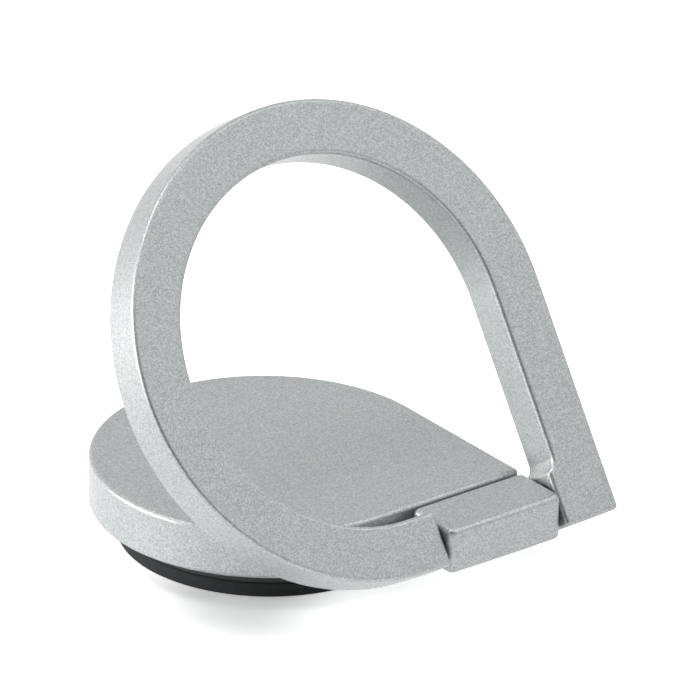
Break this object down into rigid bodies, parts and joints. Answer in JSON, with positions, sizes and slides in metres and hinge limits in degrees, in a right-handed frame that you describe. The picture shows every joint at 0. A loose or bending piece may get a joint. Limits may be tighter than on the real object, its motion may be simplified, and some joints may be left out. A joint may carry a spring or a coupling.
{
  "type": "phone ring holder",
  "caption": "Drop-shaped phone ring holder: a finger ring on a friction hinge folds flat round a plate, which swivels on a round stick-on base.",
  "frame": {"origin": "centre of the adhesive face, on the swivel axis", "axes": "+Z away from the phone, X along the hinge axis, +Y from the hinge to the round back, square corner at +X -Y"},
  "size_m": [0.0362, 0.032, 0.0341],
  "materials": {
    "silver_paint": "fine-grained matte metallic silver paint on die-cast zinc",
    "steel": "turned, plain",
    "spring_steel": "blued spring steel",
    "slip_plastic": "smooth black slip plastic",
    "black_plastic": "moulded, satin black",
    "foam": "matte black closed-cell foam"
  },
  "bodies": {
    "base": {"swivel_disc": "black_plastic", "adhesive_pad": "foam", "glide_washer": "slip_plastic"},
    "plate": {"base_plate": "silver_paint", "hinge_block": "silver_paint", "friction_sleeve": "spring_steel", "block_screws": "steel", "swivel_screw": "steel", "disc_spring": "spring_steel"},
    "ring": {"finger_ring": "silver_paint", "hinge_pin": "steel", "left_thrust_washer": "slip_plastic", "right_thrust_washer": "slip_plastic"}
  },
  "joints": [
    {"name": "plate_swivel", "type": "hinge", "parent": "base", "child": "plate", "pos_m": [0, 0, 0], "axis": [0, 0, 1], "continuous": true},
    {"name": "ring_hinge", "type": "hinge", "parent": "plate", "child": "ring", "pos_m": [0, -0.01607, 0.00462], "axis": [1, 0, 0], "range_deg": [-56.5, 123.5]}
  ]
}
